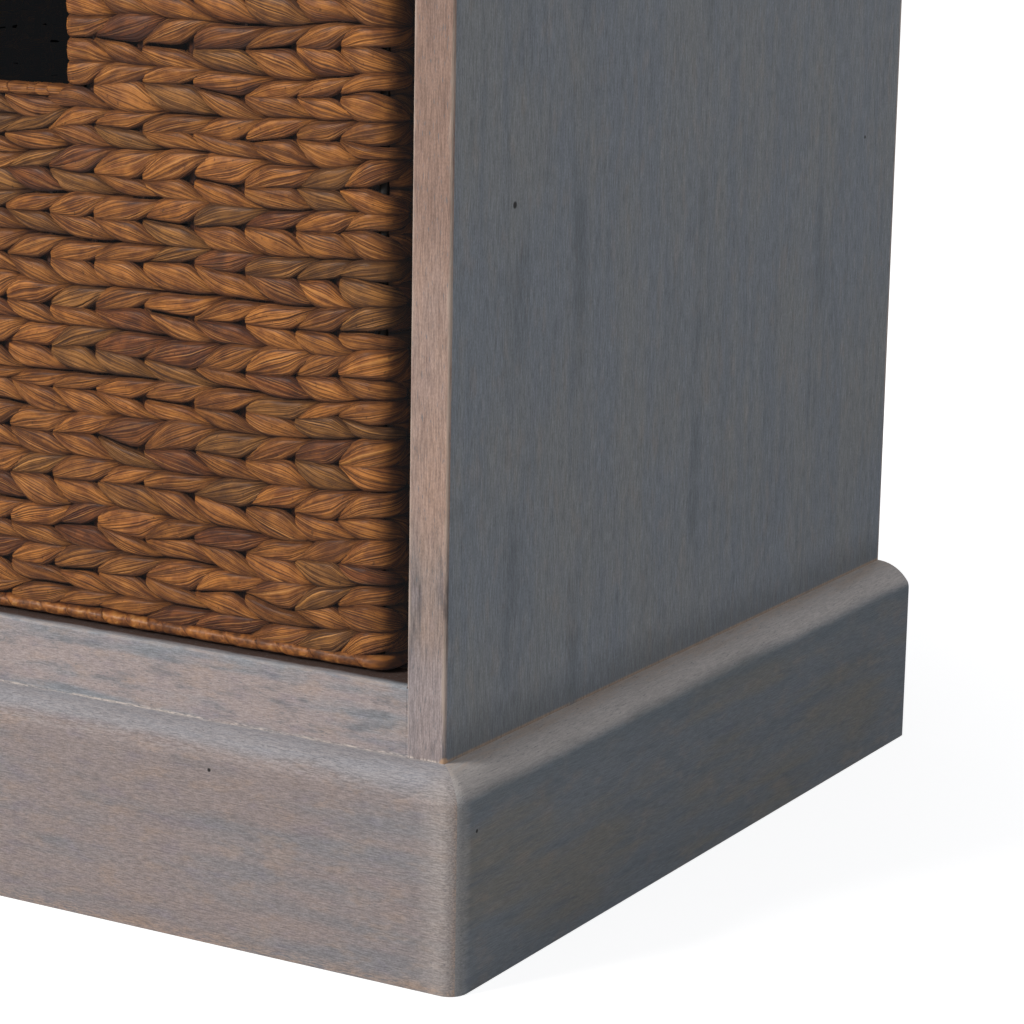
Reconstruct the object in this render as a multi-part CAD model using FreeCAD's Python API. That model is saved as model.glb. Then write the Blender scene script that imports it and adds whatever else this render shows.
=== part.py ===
import FreeCAD
import Part
import math
import os

from FreeCAD import Vector

# Basket storage cabinet: an open wooden carcass on a moulded plinth, with two bays one above the
# other, and a woven basket on a steel frame that slides in and out of each bay.
# Millimetres. Front faces -Y, +X is the cabinet's right seen from the front, +Z is up.
# The origin is on the floor, at the centre of the whole cabinet's footprint.

# Carcass
CARCASS_WIDTH = 440.0
CARCASS_DEPTH = 374.0
SIDE_THICKNESS = 16.0
SIDE_EASE = 1.2
RAIL_HEIGHT = 26.0
RAIL_DEPTH = 20.0
RAIL_EASE = 1.5
RAIL_LAP_BEHIND_PLINTH = 34.0
SHELF_THICKNESS = 14.0
HOUSING_DEPTH = 5.0
HOUSING_CLEARANCE = 0.2
REAR_RAIL_HEIGHT = 40.0
REAR_RAIL_DEPTH = 18.0
REAR_RAIL_CLEARANCE = 1.0

# Stub tenons on every rail
TENON_LENGTH = 9.0
TENON_THICKNESS = 8.0
TENON_SHOULDER = 5.0
TENON_CLEARANCE = 0.1

# Back panel, let into a rebate in the sides
BACK_THICKNESS = 5.0
BACK_INSET = 4.0
REBATE_WIDTH = 8.0
REBATE_CLEARANCE = 0.5

# Plinth moulding, planted on the outside of the carcass
PLINTH_THICKNESS = 15.5
PLINTH_HEIGHT = 79.5
PLINTH_LIP_DROP = 9.0
PLINTH_LIP_EASE = 2.0
PLINTH_CORNER_RADIUS = 7.0
CORNER_BLOCK_SIZE = 24.0

# Top board, with the same moulded edge turned upside down
TOP_THICKNESS = 20.0
TOP_OVERHANG = 15.5
TOP_LIP_RISE = 7.0
TOP_CORNER_RADIUS = 7.0
TOP_EASE = 2.0

# Basket body
BASKET_SIDE_GAP = 14.5
BASKET_RECESS = 13.0
BASKET_BACK_GAP = 1.0
BASKET_HEADROOM = 15.0
GLIDE_GAP = 0.3
WALL_THICKNESS = 8.0
INNER_CORNER_RADIUS = 2.0
ROW_PITCH = 16.5
ROW_BULGE = 1.6
BELOW_HOLE_ROW_COUNT = 12
BESIDE_HOLE_ROW_COUNT = 2
ABOVE_HOLE_ROW_COUNT = 2
BASE_THICKNESS = 7.0
BASE_CLEARANCE = 0.1

# Wrapped edges of the basket
FOOT_HEIGHT = 6.5
FOOT_WIDTH = 8.0
RIM_HEIGHT = 9.0
RIM_PROUD = 1.0
EDGE_CHAMFER = 1.8

# Hand hole in the basket's front wall
HOLE_WIDTH = 100.0
HOLE_HEIGHT = 34.0
HOLE_SILL_DROP = 3.5
HOLE_CORNER_RADIUS = 7.0
HOLE_WRAP = 5.0
HOLE_WRAP_PROUD = 0.8
HOLE_WRAP_CHAMFER = 1.5

# Welded frame of square steel bar inside the basket
FRAME_BAR = 4.0
HOLE_BAR = 3.0
CROSS_BAR = 3.5
CROSS_BAR_COUNT = 3
BAR_CLEARANCE = 0.1

# One overrun for every cutting tool that must pass through a face
OVERRUN = 5.0

# Sizes worked out from the driving ones
TOTAL_WIDTH = CARCASS_WIDTH + 2 * max(PLINTH_THICKNESS, TOP_OVERHANG)
TOTAL_DEPTH = CARCASS_DEPTH + max(PLINTH_THICKNESS, TOP_OVERHANG)
HALF_WIDTH = CARCASS_WIDTH / 2
BACK_Y = TOTAL_DEPTH / 2
FRONT_Y = BACK_Y - CARCASS_DEPTH
INNER_HALF_WIDTH = HALF_WIDTH - SIDE_THICKNESS
BACK_PANEL_FRONT_Y = BACK_Y - BACK_INSET - BACK_THICKNESS

ROW_COUNT = BELOW_HOLE_ROW_COUNT + BESIDE_HOLE_ROW_COUNT + ABOVE_HOLE_ROW_COUNT
WALL_HEIGHT = ROW_COUNT * ROW_PITCH
BASKET_HEIGHT = FOOT_HEIGHT + WALL_HEIGHT + RIM_HEIGHT
BAY_HEIGHT = GLIDE_GAP + BASKET_HEIGHT + BASKET_HEADROOM
ABOVE_UPPER_BASKET = max(BASKET_HEADROOM + RAIL_HEIGHT, REAR_RAIL_CLEARANCE + REAR_RAIL_HEIGHT)
BASKET_HALF_WIDTH = INNER_HALF_WIDTH - BASKET_SIDE_GAP
BASKET_FRONT_Y = FRONT_Y + BASKET_RECESS
BASKET_BACK_Y = BACK_PANEL_FRONT_Y - BASKET_BACK_GAP
BASKET_DEPTH = BASKET_BACK_Y - BASKET_FRONT_Y
BASKET_CENTRE_Y = (BASKET_FRONT_Y + BASKET_BACK_Y) / 2

LOWER_FLOOR_Z = PLINTH_HEIGHT + RAIL_HEIGHT
SHELF_RAIL_Z = LOWER_FLOOR_Z + BAY_HEIGHT
UPPER_FLOOR_Z = SHELF_RAIL_Z + RAIL_HEIGHT
CARCASS_TOP_Z = UPPER_FLOOR_Z + GLIDE_GAP + BASKET_HEIGHT + ABOVE_UPPER_BASKET
TOP_RAIL_Z = CARCASS_TOP_Z - RAIL_HEIGHT
BOTTOM_RAIL_Z = PLINTH_HEIGHT - RAIL_LAP_BEHIND_PLINTH
PLINTH_REAR_RAIL_HEIGHT = LOWER_FLOOR_Z - SHELF_THICKNESS


def block(x0, x1, y0, y1, z0, z1):
    """A box between two corners."""
    return Part.makeBox(x1 - x0, y1 - y0, z1 - z0, Vector(x0, y0, z0))


def fuse_all(solids):
    """One solid from several that meet face to face or overlap."""
    return solids[0].multiFuse(solids[1:]).removeSplitter()


def mirrored(shape):
    """The same piece on the other side of the cabinet."""
    return shape.mirror(Vector(), Vector(1, 0, 0))


def edges_along(shape, axis, test):
    """Straight edges parallel to an axis vector whose middle passes the test."""
    found = []
    for edge in shape.Edges:
        if not isinstance(edge.Curve, Part.Line):
            continue
        along = edge.tangentAt(edge.FirstParameter)
        if abs(along.dot(axis)) > 1 - Part.Precision.angular() and test(edge.CenterOfMass):
            found.append(edge)
    return found


def near(value, target):
    """True where a coordinate lies on a plane."""
    return abs(value - target) < Part.Precision.confusion()


# Moulded edges of the plinth and the top board
def lip_arc(height, reach, drop):
    """Start, middle and end of an arc in x and z that starts level and leaves the level by drop over reach."""
    radius = (reach**2 + drop**2) / (2 * drop)
    sweep = math.asin(reach / radius)
    middle = Vector(radius * math.sin(sweep / 2), 0, height - radius * (1 - math.cos(sweep / 2)))
    return Vector(0, 0, height), middle, Vector(reach, 0, height - drop)


def lip_profile(thickness, height, drop):
    """Outline of a moulding in x (outward) and z: its top is an arc, level where it meets the carcass."""
    inner_top, middle, outer_top = lip_arc(height, thickness, drop)
    outline = [
        Part.LineSegment(Vector(), Vector(thickness, 0, 0)).toShape(),
        Part.LineSegment(Vector(thickness, 0, 0), outer_top).toShape(),
        Part.Arc(outer_top, middle, inner_top).toShape(),
        Part.LineSegment(inner_top, Vector()).toShape(),
    ]
    return Part.Face(Part.Wire(outline))


def rounded_plan(half_width, front_y, back_y, radius, z0, z1):
    """A slab whose two front corners are rounded in plan."""
    slab = block(-half_width, half_width, front_y, back_y, z0, z1)
    corners = edges_along(slab, Vector(0, 0, 1), lambda p: near(p.y, front_y))
    return slab.makeFillet(radius, corners)


# Carcass sides
def side_panel():
    """The right-hand side: housed for both boards, rebated for the back, mortised for the rails."""
    panel = block(INNER_HALF_WIDTH, HALF_WIDTH, FRONT_Y, BACK_Y, 0, CARCASS_TOP_Z)
    front_arrises = edges_along(panel, Vector(0, 0, 1), lambda p: near(p.y, FRONT_Y))
    panel = panel.makeFillet(SIDE_EASE, front_arrises)
    rebate = block(
        INNER_HALF_WIDTH - OVERRUN,
        INNER_HALF_WIDTH + REBATE_WIDTH,
        BACK_PANEL_FRONT_Y,
        BACK_Y + OVERRUN,
        PLINTH_HEIGHT,
        CARCASS_TOP_Z + OVERRUN,
    )
    housings = [
        block(
            INNER_HALF_WIDTH - OVERRUN,
            INNER_HALF_WIDTH + HOUSING_DEPTH,
            FRONT_Y + RAIL_DEPTH,
            BACK_Y + OVERRUN,
            floor_z - SHELF_THICKNESS,
            floor_z,
        )
        for floor_z in (LOWER_FLOOR_Z, UPPER_FLOOR_Z)
    ]
    mortises = [tenon(rail, TENON_CLEARANCE) for rail in RAILS.values()]
    return panel.cut([rebate] + housings + mortises)


# Rails across the carcass, each with a stub tenon in either side
FRONT_RAIL_YS = (FRONT_Y, FRONT_Y + RAIL_DEPTH)
REAR_RAIL_YS = (BACK_PANEL_FRONT_Y - REAR_RAIL_DEPTH, BACK_PANEL_FRONT_Y)
RAILS = {
    "bottom_front_rail": FRONT_RAIL_YS + (BOTTOM_RAIL_Z, LOWER_FLOOR_Z),
    "shelf_front_rail": FRONT_RAIL_YS + (SHELF_RAIL_Z, UPPER_FLOOR_Z),
    "top_front_rail": FRONT_RAIL_YS + (TOP_RAIL_Z, CARCASS_TOP_Z),
    "top_rear_rail": REAR_RAIL_YS + (CARCASS_TOP_Z - REAR_RAIL_HEIGHT, CARCASS_TOP_Z),
    "plinth_rear_rail": REAR_RAIL_YS + (0, PLINTH_REAR_RAIL_HEIGHT),
}
WORN_ARRIS_HEIGHTS = (LOWER_FLOOR_Z, SHELF_RAIL_Z, UPPER_FLOOR_Z, TOP_RAIL_Z)


def tenon(rail, grow=0.0):
    """The right-hand tenon of a rail given by its front, back, bottom and top."""
    front, back, bottom, top = rail
    middle = (front + back) / 2
    return block(
        INNER_HALF_WIDTH,
        INNER_HALF_WIDTH + TENON_LENGTH + grow,
        middle - TENON_THICKNESS / 2 - grow,
        middle + TENON_THICKNESS / 2 + grow,
        bottom + TENON_SHOULDER - grow,
        top - TENON_SHOULDER + grow,
    )


def tenoned_rail(rail):
    """A rail between the sides, with the arrises that show at the front worn round."""
    front, back, bottom, top = rail
    bar = block(-INNER_HALF_WIDTH, INNER_HALF_WIDTH, front, back, bottom, top)
    arrises = edges_along(
        bar,
        Vector(1, 0, 0),
        lambda p: near(p.y, FRONT_Y) and any(near(p.z, z) for z in WORN_ARRIS_HEIGHTS),
    )
    if arrises:
        bar = bar.makeFillet(RAIL_EASE, arrises)
    return fuse_all([bar, tenon(rail), mirrored(tenon(rail))])


# Boards that the baskets stand on
def bay_floor(floor_z):
    """A board behind its front rail, housed into both sides and flush with the rail's top."""
    half_width = INNER_HALF_WIDTH + HOUSING_DEPTH - HOUSING_CLEARANCE
    return block(
        -half_width,
        half_width,
        FRONT_Y + RAIL_DEPTH,
        BACK_PANEL_FRONT_Y,
        floor_z - SHELF_THICKNESS,
        floor_z,
    )


# Back panel
def back_panel():
    half_width = INNER_HALF_WIDTH + REBATE_WIDTH - REBATE_CLEARANCE
    return block(
        -half_width,
        half_width,
        BACK_PANEL_FRONT_Y,
        BACK_PANEL_FRONT_Y + BACK_THICKNESS,
        PLINTH_HEIGHT,
        CARCASS_TOP_Z,
    )


# Plinth
def plinth_length_profile():
    return lip_profile(PLINTH_THICKNESS, PLINTH_HEIGHT, PLINTH_LIP_DROP)


def eased_lip(piece, axis, outer_test):
    """Rounds the edge where the arc meets the outer face."""
    lip = edges_along(
        piece,
        axis,
        lambda p: outer_test(p) and near(p.z, PLINTH_HEIGHT - PLINTH_LIP_DROP),
    )
    return piece.makeFillet(PLINTH_LIP_EASE, lip)


def plinth_outline():
    """Plan shape of the whole plinth, with its two front corners rounded."""
    return rounded_plan(
        HALF_WIDTH + PLINTH_THICKNESS,
        FRONT_Y - PLINTH_THICKNESS,
        BACK_Y,
        PLINTH_CORNER_RADIUS,
        0,
        PLINTH_HEIGHT,
    )


def front_mitre(half_width, overhang):
    """A vertical prism over the front board's share of the two mitred corners."""
    y = FRONT_Y
    reach = overhang + OVERRUN
    points = [
        Vector(-half_width, y, -OVERRUN),
        Vector(-half_width - reach, y - reach, -OVERRUN),
        Vector(half_width + reach, y - reach, -OVERRUN),
        Vector(half_width, y, -OVERRUN),
    ]
    outline = Part.makePolygon(points + points[:1])
    return Part.Face(outline).extrude(Vector(0, 0, CARCASS_TOP_Z + 2 * OVERRUN))


def plinth_front():
    """The front board: the moulded section along X, mitred at both ends."""
    reach = HALF_WIDTH + PLINTH_THICKNESS
    section = plinth_length_profile()
    section.rotate(Vector(), Vector(0, 0, 1), -90)
    section.translate(Vector(-reach, FRONT_Y, 0))
    board = section.extrude(Vector(2 * reach, 0, 0))
    board = eased_lip(board, Vector(1, 0, 0), lambda p: near(p.y, FRONT_Y - PLINTH_THICKNESS))
    board = board.common(front_mitre(HALF_WIDTH, PLINTH_THICKNESS))
    return board.common(plinth_outline())


def plinth_side():
    """The right-hand board: mitred at the front and square at the back."""
    section = plinth_length_profile()
    section.translate(Vector(HALF_WIDTH, FRONT_Y - PLINTH_THICKNESS, 0))
    board = section.extrude(Vector(0, BACK_Y - FRONT_Y + PLINTH_THICKNESS, 0))
    outer_x = HALF_WIDTH + PLINTH_THICKNESS
    board = eased_lip(board, Vector(0, 1, 0), lambda p: near(p.x, outer_x))
    board = board.cut(front_mitre(HALF_WIDTH, PLINTH_THICKNESS))
    return board.common(plinth_outline())


def plinth_corner_block():
    """A triangular glue block under the bottom rail, in the right corner behind the front board."""
    inner = Vector(INNER_HALF_WIDTH, FRONT_Y, 0)
    points = [
        inner,
        inner - Vector(CORNER_BLOCK_SIZE, 0, 0),
        inner + Vector(0, CORNER_BLOCK_SIZE, 0),
    ]
    outline = Part.makePolygon(points + points[:1])
    return Part.Face(outline).extrude(Vector(0, 0, BOTTOM_RAIL_Z))


# Top board
def top_board():
    """The top: its underside edge is an arc on the front and both ends, and it is flush at the back."""
    reach_x = HALF_WIDTH + TOP_OVERHANG
    reach_y = FRONT_Y - TOP_OVERHANG
    slab = rounded_plan(
        reach_x,
        reach_y,
        BACK_Y,
        TOP_CORNER_RADIUS,
        CARCASS_TOP_Z,
        CARCASS_TOP_Z + TOP_THICKNESS,
    )
    upper = [
        edge
        for edge in slab.Edges
        if near(edge.CenterOfMass.z, CARCASS_TOP_Z + TOP_THICKNESS)
        and edge.CenterOfMass.y < BACK_Y - TOP_EASE
    ]
    slab = slab.makeFillet(TOP_EASE, upper)
    for scoop in top_scoops(reach_x, reach_y):
        slab = slab.cut(scoop)
    return slab


def top_scoops(reach_x, reach_y):
    """Cutters that leave the arc under the overhang: one for each end and one for the front."""
    inner, middle, outer = lip_arc(CARCASS_TOP_Z, TOP_OVERHANG, -TOP_LIP_RISE)
    beyond = TOP_OVERHANG + OVERRUN
    outline = [
        Part.Arc(inner, middle, outer).toShape(),
        Part.LineSegment(outer, Vector(beyond, 0, outer.z)).toShape(),
        Part.LineSegment(Vector(beyond, 0, outer.z), Vector(beyond, 0, inner.z - OVERRUN)).toShape(),
        Part.LineSegment(Vector(beyond, 0, inner.z - OVERRUN), Vector(0, 0, inner.z - OVERRUN)).toShape(),
        Part.LineSegment(Vector(0, 0, inner.z - OVERRUN), inner).toShape(),
    ]
    section = Part.Face(Part.Wire(outline))
    end = section.copy()
    end.translate(Vector(HALF_WIDTH, reach_y - OVERRUN, 0))
    end_cutter = end.extrude(Vector(0, BACK_Y - reach_y + 2 * OVERRUN, 0))
    end_cutter = end_cutter.cut(front_mitre(HALF_WIDTH, TOP_OVERHANG))
    front = section.copy()
    front.rotate(Vector(), Vector(0, 0, 1), -90)
    front.translate(Vector(-reach_x - OVERRUN, FRONT_Y, 0))
    front_cutter = front.extrude(Vector(2 * (reach_x + OVERRUN), 0, 0))
    front_cutter = front_cutter.common(front_mitre(HALF_WIDTH, TOP_OVERHANG))
    return [end_cutter, mirrored(end_cutter), front_cutter]


# Basket: everything below is made about the basket's own centre, standing on z = 0
def wall_line():
    """Half width, half depth and corner radius of the line down the middle of the basket's wall."""
    inset = ROW_BULGE + WALL_THICKNESS / 2
    return BASKET_HALF_WIDTH - inset, BASKET_DEPTH / 2 - inset, INNER_CORNER_RADIUS + WALL_THICKNESS / 2


def rounded_loop(side_profile, corner_profile=None):
    """Carries a section (x outward from the wall line, z up) round the basket's rounded rectangle."""
    half_x, half_y, radius = wall_line()
    pieces = []
    for quarter in range(4):
        run, across = (half_y - radius, half_x) if quarter % 2 == 0 else (half_x - radius, half_y)
        side = side_profile.copy()
        side.translate(Vector(across, -run, 0))
        side = side.extrude(Vector(0, 2 * run, 0))
        corner = (corner_profile or side_profile).copy()
        corner.translate(Vector(radius, 0, 0))
        corner = corner.revolve(Vector(), Vector(0, 0, 1), 90)
        corner.translate(Vector(across - radius, run, 0))
        for piece in (side, corner):
            piece.rotate(Vector(), Vector(0, 0, 1), 90 * quarter)
            pieces.append(piece)
    return fuse_all(pieces)


def edge_section(width, z0, z1, chamfered_z):
    """A wrapped edge's section, centred on the wall line: its free corners are chamfered."""
    bar = block(-width / 2, width / 2, 0, width, z0, z1)
    arrises = edges_along(bar, Vector(0, 1, 0), lambda p: near(p.z, chamfered_z))
    bar = bar.makeChamfer(EDGE_CHAMFER, arrises)
    return next(face for face in bar.Faces if near(face.CenterOfMass.y, 0))


def square_section(side, middle_z):
    """A square bar's section, centred on the wall line."""
    low = middle_z - side / 2
    return Part.makePlane(side, side, Vector(-side / 2, 0, low), Vector(0, -1, 0), Vector(1, 0, 0))


def wall_section(bulge):
    """The wall's section: flat inside, with one ridge outward for each chevron row of weaving."""
    inner_x = -WALL_THICKNESS / 2
    outer_x = WALL_THICKNESS / 2
    low = FOOT_HEIGHT
    points = [Vector(inner_x, 0, low), Vector(outer_x, 0, low)]
    if bulge:
        for row in range(ROW_COUNT):
            bottom = low + row * ROW_PITCH
            points.append(Vector(outer_x + bulge, 0, bottom + ROW_PITCH / 2))
            points.append(Vector(outer_x, 0, bottom + ROW_PITCH))
    else:
        points.append(Vector(outer_x, 0, low + WALL_HEIGHT))
    points.append(Vector(inner_x, 0, low + WALL_HEIGHT))
    return Part.Face(Part.makePolygon(points + points[:1]))


def hole_edges():
    """Height of the hand hole's sill and head above the basket's foot."""
    sill = FOOT_HEIGHT + BELOW_HOLE_ROW_COUNT * ROW_PITCH - HOLE_SILL_DROP
    return sill, sill + HOLE_HEIGHT


def hole_block(grow, half_thickness):
    """A rounded block through the front wall, grow wider than the clear hand hole all round."""
    sill, head = hole_edges()
    half_x, half_y, radius = wall_line()
    slab = block(
        -HOLE_WIDTH / 2 - grow,
        HOLE_WIDTH / 2 + grow,
        -half_y - half_thickness,
        -half_y + half_thickness,
        sill - grow,
        head + grow,
    )
    return slab.makeFillet(HOLE_CORNER_RADIUS + grow, edges_along(slab, Vector(0, 1, 0), lambda p: True))


def bar_between(start, end, side):
    """A square bar from one point to another, along X or Z."""
    half = side / 2
    if start.x == end.x:
        return block(start.x - half, start.x + half, start.y - half, start.y + half, start.z, end.z)
    return block(start.x, end.x, start.y - half, start.y + half, start.z - half, start.z + half)


def steel_frame(grow=0.0):
    """Two rings, four corner posts, the bars under the base and the hand hole's loop, welded."""
    half_x, half_y, radius = wall_line()
    low = FOOT_HEIGHT / 2
    high = FOOT_HEIGHT + WALL_HEIGHT + RIM_HEIGHT / 2
    side = FRAME_BAR + 2 * grow
    pieces = [rounded_loop(square_section(side, z)) for z in (low, high)]
    inset = radius * (1 - math.sqrt(2) / 2)
    for x in (inset - half_x, half_x - inset):
        for y in (inset - half_y, half_y - inset):
            pieces.append(bar_between(Vector(x, y, low), Vector(x, y, high), side))
    for i in range(CROSS_BAR_COUNT):
        depth_share = (i + 1) / (CROSS_BAR_COUNT + 1)
        y = depth_share * half_y - (1 - depth_share) * half_y
        ends = Vector(-half_x, y, low), Vector(half_x, y, low)
        pieces.append(bar_between(*ends, CROSS_BAR + 2 * grow))
    return fuse_all(pieces + hole_bars(high, grow))


def hole_bars(top_z, grow):
    """A bar bent in a U round the hand hole's sides and sill, and a straight one over its head."""
    sill, head = hole_edges()
    y = -wall_line()[1]
    side = HOLE_BAR + 2 * grow
    middle = HOLE_WRAP / 2
    outer = hole_plan(middle + side / 2, y, side, sill, top_z)
    inner = hole_plan(middle - side / 2, y, side + OVERRUN, sill, top_z + OVERRUN)
    across = HOLE_WIDTH / 2 + middle
    bar_z = head + middle
    return [outer.cut(inner), bar_between(Vector(-across, y, bar_z), Vector(across, y, bar_z), side)]


def hole_plan(grow, y, depth, sill, top_z):
    """A block centred on y, grow wider than the hand hole and open upward to top_z."""
    slab = block(
        -HOLE_WIDTH / 2 - grow,
        HOLE_WIDTH / 2 + grow,
        y - depth / 2,
        y + depth / 2,
        sill - grow,
        top_z,
    )
    lower = edges_along(slab, Vector(0, 1, 0), lambda p: near(p.z, sill - grow))
    return slab.makeFillet(HOLE_CORNER_RADIUS + grow, lower)


def woven_walls(frame_channel):
    """Four walls woven in one piece, whose rows lie flat round the corners.

    They have the hand hole, and the channels that the steel bars run in.
    """
    walls = rounded_loop(wall_section(ROW_BULGE), wall_section(0))
    walls = walls.cut(hole_block(HOLE_WRAP, WALL_THICKNESS))
    return walls.cut(frame_channel)


def woven_base():
    """The base, woven inside the walls and resting on the cross bars."""
    half_x, half_y, radius = wall_line()
    inner = WALL_THICKNESS / 2 + BASE_CLEARANCE
    low = (FOOT_HEIGHT + CROSS_BAR) / 2 + BASE_CLEARANCE
    slab = block(inner - half_x, half_x - inner, inner - half_y, half_y - inner, low, low + BASE_THICKNESS)
    corners = edges_along(slab, Vector(0, 0, 1), lambda p: True)
    return slab.makeFillet(INNER_CORNER_RADIUS, corners)


def foot_binding(frame_channel):
    return rounded_loop(edge_section(FOOT_WIDTH, 0, FOOT_HEIGHT, 0)).cut(frame_channel)


def rim_binding(frame_channel):
    low = FOOT_HEIGHT + WALL_HEIGHT
    high = low + RIM_HEIGHT
    width = WALL_THICKNESS + 2 * RIM_PROUD
    return rounded_loop(edge_section(width, low, high, high)).cut(frame_channel)


def hole_binding(frame_channel):
    """The wrapped edge of the hand hole: a frame a little proud of the wall, chamfered to the hand."""
    depth = WALL_THICKNESS / 2 + HOLE_WRAP_PROUD
    wall_y = -wall_line()[1]
    clear = hole_block(0, depth + OVERRUN)
    collar = hole_block(HOLE_WRAP, depth).cut(clear)
    arrises = [
        edge
        for edge in collar.Edges
        if near(abs(edge.CenterOfMass.y - wall_y), depth) and near(edge.distToShape(clear)[0], 0)
    ]
    return collar.makeChamfer(HOLE_WRAP_CHAMFER, arrises).cut(frame_channel)


def basket_pieces():
    channel = steel_frame(BAR_CLEARANCE)
    return {
        "steel_frame": steel_frame(),
        "woven_walls": woven_walls(channel),
        "woven_base": woven_base(),
        "foot_binding": foot_binding(channel),
        "rim_binding": rim_binding(channel),
        "hand_hole_binding": hole_binding(channel),
    }


def main():
    right_side = side_panel()
    right_plinth = plinth_side()
    nodes = {
        "side_panel_right": right_side,
        "side_panel_left": mirrored(right_side),
        "bottom_board": bay_floor(LOWER_FLOOR_Z),
        "middle_shelf": bay_floor(UPPER_FLOOR_Z),
        "back_panel": back_panel(),
        "top_board": top_board(),
        "plinth_front": plinth_front(),
        "plinth_right": right_plinth,
        "plinth_left": mirrored(right_plinth),
        "plinth_corner_block_right": plinth_corner_block(),
        "plinth_corner_block_left": mirrored(plinth_corner_block()),
    }
    for name, rail in RAILS.items():
        nodes[name] = tenoned_rail(rail)
    for piece_name, shape in basket_pieces().items():
        for level, floor_z in (("lower", LOWER_FLOOR_Z), ("upper", UPPER_FLOOR_Z)):
            placed = shape.copy()
            placed.translate(Vector(0, BASKET_CENTRE_Y, floor_z + GLIDE_GAP))
            nodes[level + "_basket_" + piece_name] = placed

    os.makedirs("parts", exist_ok=True)
    for name, shape in nodes.items():
        shape.exportStep(os.path.join("parts", name + ".step"))
        print(name, "solids", len(shape.Solids), "valid", shape.isValid(), "mm3", round(shape.Volume))
    print("height", CARCASS_TOP_Z + TOP_THICKNESS, "width", TOTAL_WIDTH, "depth", TOTAL_DEPTH)


main()
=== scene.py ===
# %% [markdown]
# # A basket storage cabinet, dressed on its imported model
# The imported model's boards and rails have the right shape, so they only need a finish. The
# woven baskets, the moulded plinth and the top are made again here as surfaces worked out
# with numpy. Lengths are written in millimetres and turned into metres in one place.

from collections import namedtuple

import bpy
import numpy as np
from mathutils import Matrix, Vector


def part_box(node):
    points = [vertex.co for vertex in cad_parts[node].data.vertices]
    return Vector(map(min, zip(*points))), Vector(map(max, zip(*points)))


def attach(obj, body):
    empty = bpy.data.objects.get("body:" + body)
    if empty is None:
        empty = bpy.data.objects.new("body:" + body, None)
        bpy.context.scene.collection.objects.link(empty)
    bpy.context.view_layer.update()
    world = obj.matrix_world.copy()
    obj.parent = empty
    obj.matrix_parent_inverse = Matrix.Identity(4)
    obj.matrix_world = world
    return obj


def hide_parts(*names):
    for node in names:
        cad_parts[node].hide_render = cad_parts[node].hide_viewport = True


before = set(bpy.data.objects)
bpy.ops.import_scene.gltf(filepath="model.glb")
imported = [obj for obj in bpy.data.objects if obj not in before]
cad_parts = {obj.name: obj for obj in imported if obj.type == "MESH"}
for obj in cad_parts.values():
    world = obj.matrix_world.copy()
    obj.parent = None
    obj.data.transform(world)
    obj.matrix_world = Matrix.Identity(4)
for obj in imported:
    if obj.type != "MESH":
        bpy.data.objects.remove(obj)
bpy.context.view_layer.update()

# %% [markdown]
# ## The camera
# The photograph is a close view of the lower right corner, taken from the right with a long
# lens. Its straight edges give the camera's place, its three directions and the lens.

# %% Camera
def add_object(name, data):
    """An object in the scene that shows the data."""
    made = bpy.data.objects.new(name, data)
    bpy.context.scene.collection.objects.link(made)
    return made


camera_data = bpy.data.cameras.new("camera")
camera_data.lens = 114.84
camera_data.sensor_width = 36.0
camera = add_object("camera", camera_data)
camera_place = (0.7854, -1.1207, 0.4147)
camera_right = (0.8653864, 0.5008027, 0.0174084)
camera_up = (-0.1234649, 0.1794207, 0.9759942)
camera_back = (0.4856571, -0.8467614, 0.2170998)
turn = Matrix((camera_right, camera_up, camera_back)).transposed()
camera.matrix_world = Matrix.Translation(camera_place) @ turn.to_4x4()
bpy.context.scene.camera = camera
bpy.context.scene.view_settings.view_transform = "Standard"
print("camera at", camera_place)

# %% [markdown]
# ## Shader maths
# A finish is easier to read as arithmetic than as a list of nodes. A Socket wraps one output
# of a node, and arithmetic on it adds Math nodes. Colours and vectors never go through Math
# nodes, which would turn them grey: they have mix(), lit() and scaled().

# %% Sockets and finishes
class Socket:
    """One output of a node, for use in arithmetic."""

    def __init__(self, finish, link):
        self.finish = finish
        self.link = link

    def math(self, operation, *others):
        """A Math node that reads this value and then the others."""
        return self.finish.node("Math", {"operation": operation}, dict(enumerate([self, *others])))

    def __add__(self, other):
        return self.math("ADD", other)

    def __sub__(self, other):
        return self.math("SUBTRACT", other)

    def __rsub__(self, other):
        return self * -1.0 + other

    def __mul__(self, other):
        return self.math("MULTIPLY", other)

    __radd__ = __add__
    __rmul__ = __mul__


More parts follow.
